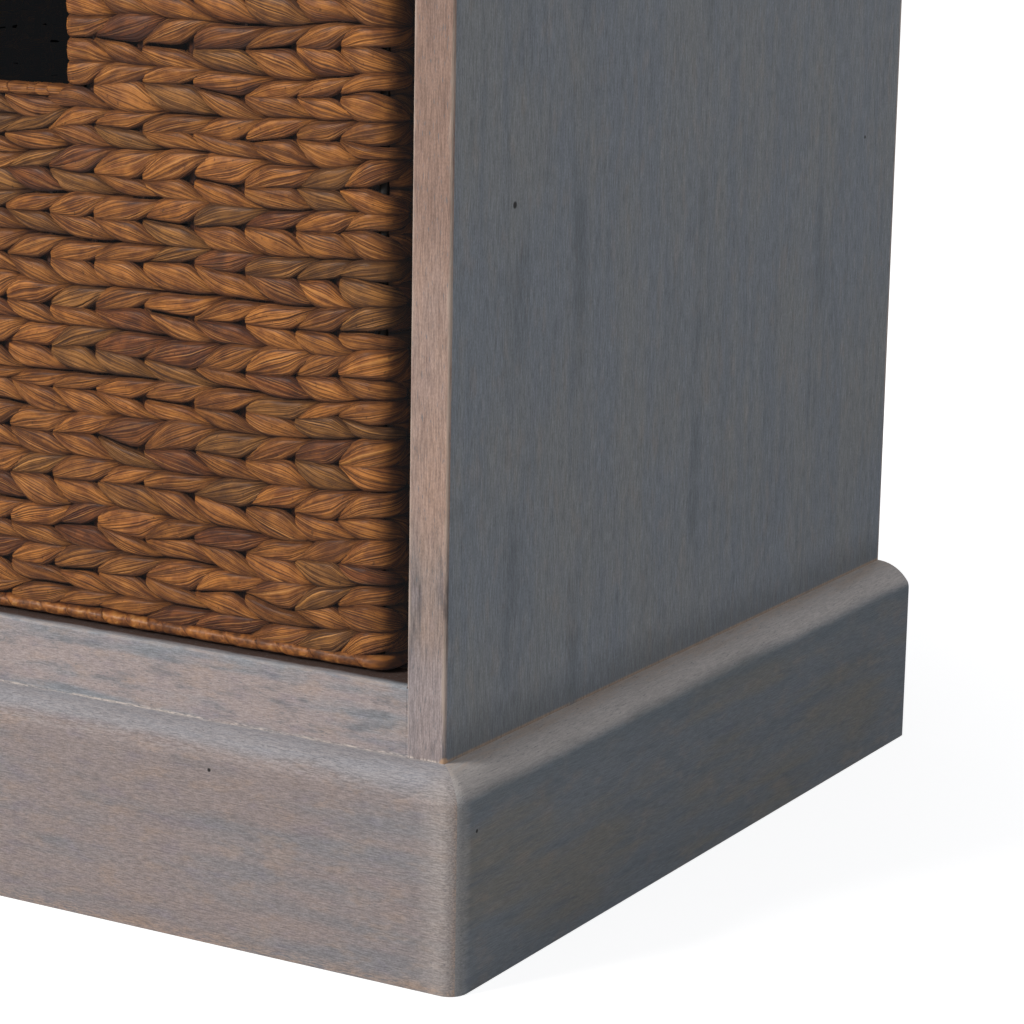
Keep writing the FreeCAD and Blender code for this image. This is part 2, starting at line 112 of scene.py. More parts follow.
class Finish:
    """A material under construction, or a world when its node tree is given."""

    def __init__(self, name, tree=None):
        if tree is None:
            self.material = bpy.data.materials.new(name)
            self.material.use_nodes = True
            tree = self.material.node_tree
        self.tree = tree
        tree.nodes.clear()

    def node(self, kind, settings=None, values=None, output=0):
        """Adds a node: its settings first, then numbers, colours or links on its inputs."""
        made = self.tree.nodes.new("ShaderNode" + kind)
        for key, value in (settings or {}).items():
            setattr(made, key, value)
        for key, value in (values or {}).items():
            if isinstance(value, Socket):
                self.tree.links.new(value.link, made.inputs[key])
            else:
                made.inputs[key].default_value = value
        return Socket(self, made.outputs[output])

    def mix(self, share, first, second, blend="MIX"):
        """Blends two colours by a share from 0 to 1."""
        settings = {"data_type": "RGBA", "blend_type": blend}
        return self.node("Mix", settings, {0: share, 6: first, 7: second}, 2)

    def between(self, value, low, high, start=0.0, end=1.0):
        """Goes smoothly from start to end while the value goes from low to high."""
        values = {0: value, 1: low, 2: high, 3: start, 4: end}
        return self.node("MapRange", {"interpolation_type": "SMOOTHSTEP"}, values)

    def scaled(self, vector, scale, shift=(0.0, 0.0, 0.0)):
        """Multiplies a vector axis by axis, then moves it."""
        values = {0: vector, 1: scale, 2: shift}
        return self.node("VectorMath", {"operation": "MULTIPLY_ADD"}, values)

    def lit(self, colour, factor):
        """Makes a colour lighter or darker by a factor."""
        return self.node("VectorMath", {"operation": "SCALE"}, {0: colour, "Scale": factor})

    def noise(self, vector, detail, rough):
        """Noise from 0 to 1 whose features are about one unit of the vector wide."""
        values = {"Vector": vector, "Scale": 1.0, "Detail": detail, "Roughness": rough}
        return self.node("TexNoise", None, values)

    def split(self, vector):
        """The three numbers of a vector."""
        parts = self.node("SeparateXYZ", None, {0: vector}).link.node.outputs
        return [Socket(self, part) for part in parts]

    def shade(self, colour, rough, height, depth, others):
        """Ends the material in a Principled shader, with a relief that is depth metres deep."""
        relief = self.node("Bump", None, {"Distance": depth, "Height": height})
        values = {"Base Color": colour, "Roughness": rough, "Normal": relief, **others}
        return self.end(self.node("BsdfPrincipled", None, values))

    def end(self, shader, kind="OutputMaterial"):
        """Joins the last shader to the output and hands back the material, if there is one."""
        output = self.tree.nodes.new("ShaderNode" + kind)
        self.tree.links.new(shader.link, output.inputs["Surface"])
        return getattr(self, "material", None)


def paint(red, green, blue):
    """A colour in screen values from 0 to 255, turned into the linear one that a shader wants."""
    part = np.array([red, green, blue]) / 255
    linear = np.where(part < 0.04045, part / 12.92, ((part + 0.055) / 1.055) ** 2.4)
    return (*linear.tolist(), 1.0)


print("a mid grey is", [round(v, 3) for v in paint(128, 128, 128)])

# %% [markdown]
# ## Surfaces from rings
# Almost every new piece is a section carried along a line. One function takes rings of points,
# run by run, and joins neighbouring rings with quads. A ring turns from up towards outward,
# and the line runs to the right seen from outside, so every face points outwards. Open runs
# get a flat cap at both ends.

# %% Rings to mesh
def smooth(x):
    """A step from 0 to 1 that starts and ends level: x squared times (3 minus 2x)."""
    x = np.clip(x, 0, 1)
    return x * x * (3 - 2 * x)


def points(*parts):
    """Numbers or arrays spread to one shape and put side by side, as x, y and z of points are."""
    return np.stack(np.broadcast_arrays(*parts), -1)


def run_length(line):
    """Distance down each run of line[run, step]."""
    step = np.linalg.norm(np.diff(line, axis=1), axis=-1)
    return np.cumsum(np.insert(step, 0, 0.0, axis=1), 1)


def make_piece(name, body, slot, finish, rings, along=None, marks=None, node=None, closed=False, sharp=None):
    """A mesh from rings[run, step, corner] in millimetres, on a body, in place of a node if one is named.

    along[run, step] is the distance down the run and becomes the first UV number; the second
    is the share of the way round the ring. marks are numbers on every point, and sharp is the
    angle from which an edge is shaded as one.
    """
    runs, steps, corners, _ = rings.shape
    index = np.arange(runs * steps * corners).reshape(runs, steps, corners)
    ahead = np.roll(index, -1, axis=1) if closed else index[:, 1:]
    here = index if closed else index[:, :-1]
    quads = np.stack([here, np.roll(here, -1, 2), np.roll(ahead, -1, 2), ahead], -1).reshape(-1, 4)
    caps = [] if closed else np.concatenate([index[:, 0, ::-1], index[:, -1]]).tolist()
    mesh = bpy.data.meshes.new(name)
    mesh.from_pydata(rings.reshape(-1, 3) * 0.001, [], quads.tolist() + caps)
    mesh.polygons.foreach_set("use_smooth", np.arange(len(mesh.polygons)) < len(quads))
    if sharp:
        mesh.set_sharp_from_angle(angle=np.radians(sharp))
    if along is not None:
        u = np.concatenate([along, 2 * along[:, -1:] - along[:, -2:-1]], 1) if closed else along
        ends = np.stack([u[:, :-1], u[:, 1:]], -1)[:, :, None, [0, 0, 1, 1]]
        share = (np.arange(corners)[:, None] + [0, 1, 1, 0]) / corners
        uv = np.zeros((len(mesh.loops), 2), np.float32)
        uv[: quads.size] = points(ends, share).reshape(-1, 2)
        mesh.uv_layers.new(name="run").data.foreach_set("uv", uv.ravel())
    for key, value in (marks or {}).items():
        value = np.asarray(value)
        full = np.broadcast_to(value[..., None] if value.ndim == 2 else value, index.shape)
        mesh.attributes.new(key, "FLOAT", "POINT").data.foreach_set("value", full.astype(np.float32).ravel())
    mesh.materials.append(finish)
    piece = add_object(name, mesh)
    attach(piece, body)
    if node:
        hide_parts(node)
    print(name, "quads", len(quads), "runs", runs)


def section_rings(line, half_high, half_deep, corners, power=2.0):
    """Carries an oval section, upright and at right angles to the line, along line[run, step].

    An oval's corner at angle a is (cos a, sin a) with each part raised to 2/power, so 2 is an
    ellipse and more is squarer.
    """
    ahead = np.gradient(line, axis=-2)
    level = ahead[..., :2] / np.maximum(np.linalg.norm(ahead[..., :2], axis=-1, keepdims=True), 1e-9)
    out = points(level[..., 1], -level[..., 0], 0.0)
    angle = (np.arange(corners) + 0.5) * 2 * np.pi / corners
    circle = np.array([np.cos(angle), np.sin(angle)])
    c, s = np.sign(circle) * np.abs(circle) ** (2 / power)
    high = np.asarray(half_high)[..., None] * c
    deep = np.asarray(half_deep)[..., None] * s
    rings = line[..., None, :] + deep[..., None] * out[..., None, :]
    rings[..., 2] += high
    return rings


# %% [markdown]
# ## The light and the floor
# The cabinet was photographed on plain white, lit from the front left. One large lamp stands
# there, and a weaker one at the right and a plain world keep the shaded side open. The camera
# sees white behind, and the floor keeps a little of the object's shadow.

# %% Lamps, world and floor
def soft_lamp(name, place, towards, size, watts, tint):
    """A round lamp whose face is turned to a point."""
    data = bpy.data.lights.new(name, "AREA")
    data.shape = "DISK"
    data.size = size
    data.energy = watts
    data.color = tint
    lamp = add_object(name, data)
    aim = (Vector(towards) - Vector(place)).to_track_quat("-Z", "Y")
    lamp.matrix_world = Matrix.Translation(place) @ aim.to_matrix().to_4x4()
    print(name, watts, "W")


soft_lamp("key_light", (-1.5, -2.7, 1.75), (0.0, -0.1, 0.3), 1.3, 112.0, (1.0, 0.975, 0.955))
soft_lamp("side_light", (3.0, 1.1, 1.7), (0.2, 0.0, 0.3), 1.6, 27.0, (0.96, 0.98, 1.03))

WHITE = (1.0, 1.0, 1.0, 1.0)
world = bpy.data.worlds.new("studio")
bpy.context.scene.world = world
world.use_nodes = True
sky = Finish("studio", world.node_tree)
seen = sky.node("LightPath", output="Is Camera Ray")
for kind in ("Glossy", "Transmission"):
    seen = seen.math("MAXIMUM", sky.node("LightPath", output=f"Is {kind} Ray"))
fill = sky.node("Background", None, {"Color": (0.95, 0.98, 1.04, 1.0), "Strength": 0.15})
plain = sky.node("Background", None, {"Color": WHITE, "Strength": 1.0})
sky.end(sky.node("MixShader", None, {0: seen, 1: fill, 2: plain}), "OutputWorld")

FLOOR_REACH = 60.0
ground = Finish("studio_floor")
place = ground.node("TexCoord", output="Object")
from_middle = ground.node("VectorMath", {"operation": "LENGTH"}, {0: place}, "Value")
camera_ray = ground.node("LightPath", output="Is Camera Ray")
glow = camera_ray * ground.between(from_middle, 0.22, 0.75, 0.82, 1.0)
matt = ground.node("BsdfDiffuse", None, {"Color": (0.55, 0.55, 0.55, 1.0)})
glowing = ground.node("Emission", None, {"Color": WHITE, "Strength": glow})
ground.end(ground.node("AddShader", None, {0: matt, 1: glowing}))
floor_mesh = bpy.data.meshes.new("floor")
corners = [(-1, -1, 0), (1, -1, 0), (1, 1, 0), (-1, 1, 0)]
floor_mesh.from_pydata(np.array(corners) * FLOOR_REACH, [], [(0, 1, 2, 3)])
floor_mesh.materials.append(ground.material)
add_object("floor", floor_mesh)
print("floor reaches", FLOOR_REACH, "m")

# %% [markdown]
# ## Washed wood
# The cabinet is a pinkish tan wood under a thin blue-grey wash that was rubbed back. The wash
# lies in soft clouds and in smudges along the grain, the arrises are worn to bare wood, and
# the open grain shows as short fine lines. Each board gets its own copy of the finish, so
# that no two have the same figure. A side panel has a look for its face and another for its
# rubbed front edge: the same noises are coloured twice and mixed by place.

# %% The looks of the wash
# A look has three colours, of bare wood, wash and dark stain, and then: how much the wash
# covers, how strong smudges and grain lines are, how softly wash and wood meet, how far both
# run along the grain, and how much turns tan and violet in small patches.
USUAL = (0.5, 0.5, 1.0, 0.0, 1.0, 0.1)
Look = namedtuple("Look", "bare wash stain cover smudges lines soft reach mottle", defaults=USUAL)
rail_look = Look((165, 152, 149), (139, 142, 147), (114, 116, 120), 0.42, 0.66, 1.7, 0.05, 0.5, 0.2)
edge_look = Look((162, 140, 128), (136, 126, 123), (98, 89, 87), 0.4, 0.85, 2.1, 0.08, 1.0, 0.2)
side_look = Look((139, 141, 142), (129, 134, 140), (104, 109, 114), 0.55, 0.3, 1.1, 0.12)
front_look = Look((149, 137, 134), (135, 132, 134), (116, 114, 117), 0.42, 0.3, 2.0, 0.08, 0.55, 0.2)
return_look = Look((124, 122, 117), (114, 119, 124), (94, 101, 108), 0.6, 0.45, 1.2, 0.1)
plain_look = Look((150, 143, 141), (134, 135, 140), (112, 114, 118))
print("looks: rail, edge, side, front, return, plain")

# %% The wood finish
def box_mm(name):
    """The two corners of a node, in millimetres."""
    low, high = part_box(name)
    return np.array(low) * 1000, np.array(high) * 1000


def washed_wood(name, node, grain, seed, face, front=None, wear=1.0, spots=(), bands=(), streaks=()):
    """The washed finish of one node, whose grain runs along the axis that is named.

    front is a second look for the board's front edge. spots are (x, y, z, radius) of filled
    nail holes, with a colour where they aren't dark. bands are (axis, from, to, colour, share,
    manner), for a colour that comes in on a straight, wavering or broken line; a second (axis,
    from, to) keeps it to one side. streaks are soft dark stripes (axis, middle, half width,
    share).
    """
    wood = Finish(name)
    mm = wood.scaled(wood.node("TexCoord", output="Object"), (1000.0,) * 3)
    x, y, z = axes = wood.split(mm)
    low, high = box_mm(node)

    def grained(across, length, detail=2.0, rough=0.5, turn=0.0):
        """Noise whose features are so many millimetres across the grain and along it."""
        size = [1 / across] * 3
        size["XYZ".index(grain)] = 1 / length
        shift = (seed * 7.13 + turn, seed * 3.71 - turn, seed * 5.37)
        return wood.noise(wood.scaled(mm, size, shift), detail, rough)

    cloud = grained(32, 75)
    streak = grained(8, 210, 2, 0.55, 11.0)
    smudge = grained(3.6, 34 * face.reach, 3, 0.62, 23.0)
    fibre = grained(0.5, 7 * face.reach, 2, 0.6, 37.0)
    pore = grained(0.42, 3.6 * face.reach, 1, 0.5, 51.0)
    grit = grained(0.5, 0.9, 1, 0.5, 67.0)
    hue = grained(6, 15, 3, 0.6, 83.0)
    level = cloud * 0.5 + streak * 0.38 + smudge * 0.12
    stain = paint(*face.stain)

    def washed(kind):
        """The colour of one look, still without its grain."""
        start = 0.455 - 0.26 * (kind.cover - 0.5) - kind.soft / 2
        covered = wood.between(level, start, start + 0.09 + kind.soft)
        colour = wood.mix(covered, paint(*kind.bare), paint(*kind.wash))
        return wood.mix(wood.between(smudge, 0.50, 0.72) * kind.smudges, colour, paint(*kind.stain))

    colour = washed(face)
    if front:
        colour = wood.mix(wood.between(y, low[1] + 1.5, low[1] + 0.9), colour, washed(front))
    patches = wood.between(smudge * 0.5 + fibre * 0.5, 0.44, 0.56)
    colour = wood.mix(wood.between(hue, 0.52, 0.68) * face.mottle, colour, paint(178, 150, 126))
    colour = wood.mix(wood.between(hue, 0.47, 0.30) * face.mottle, colour, paint(120, 116, 136))
    for axis, start, end, tint, share, manner, *limit in bands:
        across = axes[axis]
        if manner == "wavering":
            across = across + (cloud - 0.5) * 5.0 + (smudge - 0.5) * 3.0
        amount = wood.between(across, start, end) * share
        if manner == "broken":
            amount = amount * patches
        if limit:
            amount = amount * wood.between(axes[limit[0]], *limit[1:])
        colour = wood.mix(amount, colour, paint(*tint))
    for axis, middle, half, share in streaks:
        off = (axes[axis] - middle + (streak - 0.5) * 12.0).math("ABSOLUTE")
        amount = wood.between(off, half, 0.0) * wood.between(cloud, 0.44, 0.6) * share
        colour = wood.mix(amount, colour, stain)
    lines = max(face.lines, (front or face).lines)
    colour = wood.lit(colour, wood.between(cloud, 0.3, 0.7, 0.96, 1.04))
    colour = wood.lit(colour, wood.between(fibre, 0.28, 0.72, 1 - 0.12 * lines, 1 + 0.09 * lines))
    colour = wood.lit(colour, wood.between(grit, 0.3, 0.7, 1 - 0.05 * lines, 1 + 0.045 * lines))
    colour = wood.mix(wood.between(pore, 0.36, 0.27) * (0.4 * lines), colour, stain)
    gaps = [(v - a).math("MINIMUM", b - v) for v, a, b in zip(axes, low.tolist(), high.tolist())]
    nearer, further = [gaps[0].math(pick, gaps[1]) for pick in ("MINIMUM", "MAXIMUM")]
    arris = nearer.math("MAXIMUM", further.math("MINIMUM", gaps[2]))
    worn = wood.between(arris + (smudge - 0.5) * 4.0, 1.4, 0.1) * wear
    colour = wood.mix(worn * 0.8, colour, paint(186, 168, 154))
    for sx, sy, sz, radius, *tint in spots:
        away = (x - sx) * (x - sx) + (y - sy) * (y - sy) + (z - sz) * (z - sz)
        dot = wood.between(away, radius**2, (radius * 0.5) ** 2)
        colour = wood.mix(dot, colour, paint(*(tint or (30, 28, 28))))
    height = fibre * 0.6 + pore * 0.5 + smudge * 0.35
    return wood.shade(colour, 0.72 - 0.1 * worn, height, 0.00016, {"Specular IOR Level": 0.3})


def finish_node(name, material):
    """Gives a CAD node its material, on every slot that it has."""
    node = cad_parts[name]
    if not node.material_slots:
        node.data.materials.append(material)
    for place in node.material_slots:
        place.material = material


(BAY_SIDE, FRONT, _), (HALF_WIDTH, BACK, _) = box_mm("side_panel_right")
plinth_high = box_mm("plinth_right")[1]
PROUD, PLINTH_TOP = plinth_high[0] - HALF_WIDTH, plinth_high[2]
rail_low, rail_high = box_mm("bottom_front_rail")
RAIL_FACE, RAIL_TOP = rail_low[1], rail_high[2]
FRONT_RAILS = ("bottom_front_rail", "shelf_front_rail", "top_front_rail")
boards = (
    (("side_panel_right", "side_panel_left"), "Z", side_look, edge_look),
    (("bottom_board", "middle_shelf"), "X", plain_look),
    (FRONT_RAILS, "X", rail_look),
    (("top_rear_rail", "plinth_rear_rail"), "X", plain_look),
    (("plinth_corner_block_right", "plinth_corner_block_left"), "Z", plain_look),
)
knots = ((220.0, -136.6, 271.9, 1.6), (220.0, 161.6, 271.1, 0.9), (219.8, -179.0, 79.6, 2.4, 186, 154, 126))
on_front = (1, FRONT + 1.5, FRONT + 0.9)
on_side = (0, HALF_WIDTH - 1.4, HALF_WIDTH - 0.8)
over_rail = (2, RAIL_TOP - 1.5, RAIL_TOP + 0.5)
joint_line = (2, PLINTH_TOP + 1.6, PLINTH_TOP + 0.3, (62, 62, 66), 0.75, "wavering")
pale_line = (2, PLINTH_TOP + 1.0, PLINTH_TOP + 0.2, (208, 196, 186), 0.8, "broken")
strip_tan = (2, 145.0, 175.0, (184, 148, 128), 0.42, "wavering", *on_front)
strip_brown = (2, 238.0, 280.0, (128, 102, 90), 0.5, "wavering", *on_front)
strip_foot = (2, 128.0, 106.0, (154, 144, 145), 0.75, "wavering", *on_front)
side_shade = (2, PLINTH_TOP + 20.0, PLINTH_TOP + 2.0, (88, 92, 96), 0.5, "wavering", *on_side)
side_line = (2, PLINTH_TOP + 1.5, PLINTH_TOP + 0.6, (172, 144, 118), 0.6, "straight", *on_side)
# Painted shade: the rail's top behind its front arris is painted dark brown, for the shade that falls under
# the basket.
bay_floor_painted_shade = (1, RAIL_FACE + 2.0, RAIL_FACE + 5.0, (62, 42, 32), 0.95, "wavering")
top_tint = (2, RAIL_TOP - 1.2, RAIL_TOP - 0.2, (139, 146, 153), 0.65, "wavering")
# Painted shade: both side panels' inner faces are painted dark brown above the bottom rail (over_rail), for
# the shade in the gap beside the basket.
right_bay_painted_shade = (0, BAY_SIDE + 0.7, BAY_SIDE + 0.2, (60, 44, 37), 0.9, "straight", *over_rail)
left_bay_painted_shade = (0, -BAY_SIDE - 0.7, -BAY_SIDE - 0.2, *right_bay_painted_shade[3:])
extras = {
    "side_panel_right": {
        "spots": knots,
        "bands": (strip_tan, strip_brown, strip_foot, side_shade, side_line, pale_line + on_front, right_bay_painted_shade),
        "streaks": ((1, -88.0, 9.0, 0.7), (1, 9.5, 6.0, 0.65), (1, -134.0, 12.0, 0.5), (1, 120.0, 8.0, 0.45)),
    },
    "side_panel_left": {"bands": (joint_line, left_bay_painted_shade)},
    "bottom_front_rail": {"bands": (pale_line, top_tint, bay_floor_painted_shade), "wear": 0.35},
}
woods = {}
for names, grain, *looks in boards:
    for name in names:
        more = extras.get(name, {})
        woods[name] = washed_wood(name, name, grain, len(woods) + 1, *looks, **more)
        finish_node(name, woods[name])
print("boards finished:", len(woods))

# %% [markdown]
# ## Filled joints
# The real rails meet the sides in joints that were filled and washed over. The rounded arrises
# of the sides leave a small groove beside every rail, and a slim square bead closes it, just
# behind the face, in the wood of its rail.

# %% Beads beside the rails
BEAD_INSET, BEAD_FACE, BEAD_BACK, BEAD_LAP = 1.0, 0.08, 1.2, 0.3
bead_ends = BAY_SIDE + np.array([-BEAD_LAP, BEAD_BACK])
bead_ends = np.array([-bead_ends[::-1], bead_ends])
for name in FRONT_RAILS:
    low, high = box_mm(name)
    bottom = max(low[2] + BEAD_INSET, PLINTH_TOP)
    top = high[2] - BEAD_INSET
    corner_y = low[1] + np.array([BEAD_BACK, BEAD_FACE, BEAD_FACE, BEAD_BACK])
    bead = points(bead_ends[..., None], corner_y, np.array([top, top, bottom, bottom]))
    make_piece(name + "_filled_joints", "carcass", "washed_wood", woods[name], bead, sharp=40)

# %% [markdown]
# ## The moulded plinth and the top board
# The plinth is three boards with a thumbnail edge, mitred at the front corners, and the top
# has the same edge upside down. Both follow one plan line: forward along the left side,
# across the front and back along the right side. A point that stands d outside the carcass
# turns the corner on a radius in proportion to d, so the corner is a smooth hip.

# %% The moulded section and its plan line
CORNER_ROUND = 7.0
CORNER_STEPS = 9
STRAIGHT_STEPS = 24


def thumbnail(reach, base, edge, ease):
    """A moulded edge as (out, height): an arc from level at (0, base) to (reach, edge).

    A straight drops from there; where the two meet, a small arc of radius `ease` rounds them.
    """
    drop = base - edge
    radius = (reach**2 + drop**2) / (2 * drop)
    sweep = np.arcsin(reach / radius)
    a = np.linspace(0, sweep * (1 - 0.6 * ease / reach), 10)
    arc = np.stack([radius * np.sin(a), base - radius * (1 - np.cos(a))], -1)
    end = np.array([reach, edge - np.sign(drop) * ease])
    corner = np.array([reach, edge])
    t = np.linspace(0, 1, 6)[1:, None]
    round_off = (1 - t) ** 2 * arc[-1] + 2 * t * (1 - t) * corner + t**2 * end
    return np.concatenate([arc, round_off])


def moulded_rings(section):
    """Points (out, height) of a section carried down the plan line, as one run of rings.

    The right side is a quarter circle of radius 7 d / 15.5 and a straight to the back, and the
    left side is its mirror image.
    """
    out, height = section.T
    radius = CORNER_ROUND * np.maximum(out, 0.3) / PROUD
    turn_x = HALF_WIDTH + out - radius
    turn_y = FRONT - out + radius
    t = np.linspace(0, 1, STRAIGHT_STEPS)[:, None]
    quarter = np.linspace(0, np.pi / 2, 2 * CORNER_STEPS + 1)[1:-1, None]
    front = points(turn_x * (2 * t - 1), FRONT - out, height)
    turn = points(turn_x + radius * np.sin(quarter), turn_y - radius * np.cos(quarter), height)
    straight = points(HALF_WIDTH + out, turn_y + (BACK - turn_y) * t, height)
    right = np.concatenate([turn, straight])
    return np.concatenate([right[::-1] * (-1, 1, 1), front, right])[None]


# %% The plinth's three boards
lip = thumbnail(PROUD, PLINTH_TOP, PLINTH_TOP - 9.0, 2.0)
outer = [[PROUD, 50.0], [PROUD, 30.0], [PROUD, 12.0], [PROUD, 1.2], [PROUD, 0.35], [PROUD - 0.6, 0.0]]
inner = [[0.0, 0.0], [0.0, 40.0]]
plinth_rings = moulded_rings(np.concatenate([lip, outer, inner]))
left_mitre = STRAIGHT_STEPS + CORNER_STEPS - 1
right_mitre = plinth_rings.shape[1] - 1 - left_mitre
front_bands = (
    (2, 72.5, 76.5, (160, 160, 165), 0.9, "wavering"),
    (2, 70.5, 72.5, (160, 153, 152), 0.4, "broken"),
    (1, FRONT - 1.6, FRONT - 0.6, (196, 188, 182), 0.6, "broken"),
    (0, HALF_WIDTH - 4.0, HALF_WIDTH + 9.0, (172, 162, 156), 0.55, "wavering"),
    (0, HALF_WIDTH + 11.5, HALF_WIDTH + 14.5, (182, 152, 130), 0.65, "broken"),
    (2, 6.0, 1.0, (172, 142, 118), 0.4, "broken"),
)
side_bands = (
    (2, 60.0, 70.0, (100, 109, 115), 0.5, "wavering"),
    # The next band paints the ledge top pale: partly worn wash, partly painted light where the upward-facing
    # ledge catches the lamp.
    (2, 69.5, 75.0, (190, 182, 177), 0.9, "wavering"),
    (1, FRONT - 6.0, FRONT - 15.0, (172, 169, 167), 0.75, "wavering"),
    (2, PLINTH_TOP - 2.2, PLINTH_TOP - 0.6, (172, 152, 136), 0.5, "broken"),
)
front_spots = ((130.3, -194.75, 66.3, 0.9), (24.6, -186.0, 78.9, 0.7))
shares = {
    "plinth_left": (slice(0, left_mitre + 1), "Y", return_look, side_bands, ()),
    "plinth_front": (slice(left_mitre, right_mitre + 1), "X", front_look, front_bands, front_spots),
    "plinth_right": (slice(right_mitre, None), "Y", return_look, side_bands, ((235.5, -182.5, 58.7, 0.9),)),
}
for seed, (name, (share, grain, face, bands, spots)) in enumerate(shares.items(), 21):
    wood = washed_wood(name + "_wood", name, grain, seed, face, None, 0.0, spots, bands)
    make_piece(name + "_moulded", "carcass", "washed_wood", wood, plinth_rings[:, share], node=name, sharp=40)

# %% The top board
# Its outline is drawn at each height of the edge, and flat faces close the stack of outlines.
top_low, top_high = box_mm("top_board")
rounded = np.array([[PROUD, 3.0], [PROUD - 0.25, 1.4], [PROUD - 1.0, 0.45], [PROUD - 2.6, 0.0]])
rounded[:, 1] = top_high[2] - rounded[:, 1]
top_section = np.concatenate([thumbnail(PROUD, top_low[2], top_low[2] + 7.0, 1.5), rounded])
top_rings = moulded_rings(top_section).transpose(0, 2, 1, 3)
top_wood = washed_wood("top_wood", "top_board", "X", 31, plain_look, wear=0.7)
make_piece("top_board_moulded", "carcass", "washed_wood", top_wood, top_rings, node="top_board", sharp=40)

# %% [markdown]
# ## The basket's wall line and its stakes
# A basket is woven round thin upright stakes. Seen from above its wall is a rounded rectangle,
# and everything in it is placed by two numbers: how far round that line, and how far outside
# it. The dressed basket is a little wider than its solid and reaches further forward, as the
# photograph shows it.

# %% Round the wall by distance
FORWARD = 6.5
SIDE_INSET, END_INSET = 1.4, 4.0
WALL_ROUND = 3.2
foot_low, foot_high = box_mm("lower_basket_foot_binding")
HALF_X = (foot_high[0] - foot_low[0]) / 2 - SIDE_INSET
HALF_Y = (foot_high[1] - foot_low[1] + FORWARD) / 2 - END_INSET
CENTRE_Y = (foot_high[1] + foot_low[1] - FORWARD) / 2
FRONT_WALL = CENTRE_Y - HALF_Y

# A row holds x, y and the outward direction of a point. The line starts and ends in the
# middle of the front wall.
stretches = [np.array([[0.0, -HALF_Y, 0.0, -1.0]])]
for corner, (sx, sy) in enumerate([(1, -1), (1, 1), (-1, 1), (-1, -1)]):
    angle = np.linspace(corner - 1, corner, 9) * np.pi / 2
    outward = np.array([np.cos(angle), np.sin(angle)])
    x, y = WALL_ROUND * outward + [[sx * (HALF_X - WALL_ROUND)], [sy * (HALF_Y - WALL_ROUND)]]
    stretches.append(points(x, y, *outward))
WALL_ROWS = np.concatenate(stretches + stretches[:1])
WALL_DISTANCE = run_length(WALL_ROWS[None, :, :2])[0]
ROUND_TRIP = WALL_DISTANCE[-1]


def wall_point(distance, out):
    """x and y of a point that lies `out` beyond the wall line, by distance round it."""
    d = np.mod(distance, ROUND_TRIP)
    x, y, nx, ny = [np.interp(d, WALL_DISTANCE, WALL_ROWS[:, i]) for i in range(4)]
    length = np.hypot(nx, ny)
    return x + out * nx / length, y + CENTRE_Y + out * ny / length


quarter_turn = WALL_ROUND * np.pi / 2
corner_at = HALF_X - WALL_ROUND + 0.4 * quarter_turn
side_run = 2 * (HALF_Y - WALL_ROUND) + quarter_turn
STAKES = np.array([0.0, 20.2, 40.4, 60.8, 82.5, 105.0, 127.3, 149.3, 167.6, corner_at])
home_stakes = ROUND_TRIP - STAKES[-2::-1]
for run, count in ((side_run, 17), (2 * corner_at, 19), (side_run, 17)):
    STAKES = np.append(STAKES, STAKES[-1] + np.linspace(0, run, count)[1:])
STAKES = np.append(STAKES, home_stakes)
STAKE_COUNT = len(STAKES) - 1
CORNER_STAKES = [9, 25, 43, 59]


def stake_distance(u):
    """Distance round the wall of stake number u, which may be a fraction or past the end."""
    laps = np.floor(u / STAKE_COUNT)
    return np.interp(u - laps * STAKE_COUNT, np.arange(STAKE_COUNT + 1), STAKES) + laps * ROUND_TRIP


def from_front(distance):
    """Distance from the middle of the front wall, negative on its left."""
    return np.mod(distance + ROUND_TRIP / 2, ROUND_TRIP) - ROUND_TRIP / 2


print("wall line", round(ROUND_TRIP, 1), "mm round, stakes", STAKE_COUNT)

# %% [markdown]
# ## Rows that sag and close up
# Woven rows aren't level lines. The photograph shows them lifting a few millimetres at the
# corners and closing up under the hand hole, where the last rows are beaten down. One
# function bends the height of every row, so that neighbours stay together.

# %% Heights of the rows
SPINES = np.array([12.0, 27.8, 44.1, 63.0, 80.4, 95.5, 111.9, 128.0])
SPINES = np.append(SPINES, [145.4, 161.1, 177.7, 193.6, 209.0, 226.4, 243.4, 260.4])
WALL_FOOT, WALL_HEAD = 5.2, 269.5
SILL, HEAD, HOLE_HALF = 201.0, 235.0, 50.0
CORNER_LIFT, SILL_DROP, HEAD_RISE = 2.6, 5.9, 5.8


def bend(distance, height, zone):
    """Moves a height by the lift at the corners and by the squeeze under and over the hand hole.

    zone is -1 for rows under the hole's sill, 1 over its head and 0 beside it.
    """
    aside = np.abs(from_front(distance))
    to_corner = np.min([np.abs(from_front(distance - STAKES[c])) for c in CORNER_STAKES], axis=0)
    fading = (1 - smooth((height - HEAD) / 35)) * smooth(height / 12)
    lift = CORNER_LIFT * (1 - smooth(to_corner / 42)) * fading
    in_hole = 1 - smooth((aside - 36.0) / 20)
    below = -SILL_DROP * smooth((height - 165) / 36) * (zone < 0)
    above = HEAD_RISE * (1 - smooth((height - 234) / 30)) * (zone > 0)
    return height + lift + in_hole * (below + above)


# %% [markdown]
# ## Twined strands
# Each half row is two strands of leaf twisted round the stakes. A strand passes in front of
# one stake and behind the next, and its partner does the opposite. Half rows are twisted one
# way and the other in turn, which makes the chevrons. A leaf's blunt head comes out just past
# the stake before its own, low at the chevron's foot, and its thin tail dives beside the next
# stake, high at the spine.
#
# The head's edge goes from foot to spine as 1 - (1 - distance past the stake / its length) to
# a power, and the tail's edge as a smooth step. Seen from above, the strand comes up steeply,
# stays almost level in front of its stake and sinks more slowly.

